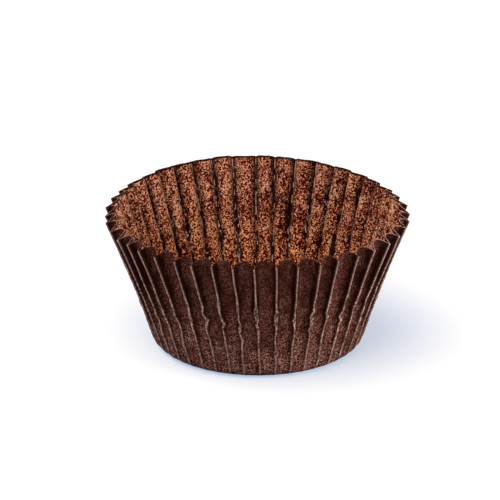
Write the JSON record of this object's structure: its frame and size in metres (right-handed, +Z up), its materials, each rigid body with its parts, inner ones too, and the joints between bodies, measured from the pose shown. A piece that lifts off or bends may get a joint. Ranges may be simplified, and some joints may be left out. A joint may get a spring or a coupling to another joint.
{
  "type": "cupcake liner",
  "caption": "Round fluted paper baking cup with a flat base, a flared pleated wall and a scalloped open rim.",
  "frame": {"origin": "centre of the underside of the flat base", "axes": "+Z up along the cup's axis, towards the open rim; one flute crest faces -Y"},
  "size_m": [0.075, 0.075, 0.0343],
  "materials": {
    "brown_paper": "matt greaseproof baking paper, dyed dark brown"
  },
  "bodies": {
    "root": {"paper_cup": "brown_paper"}
  },
  "joints": []
}
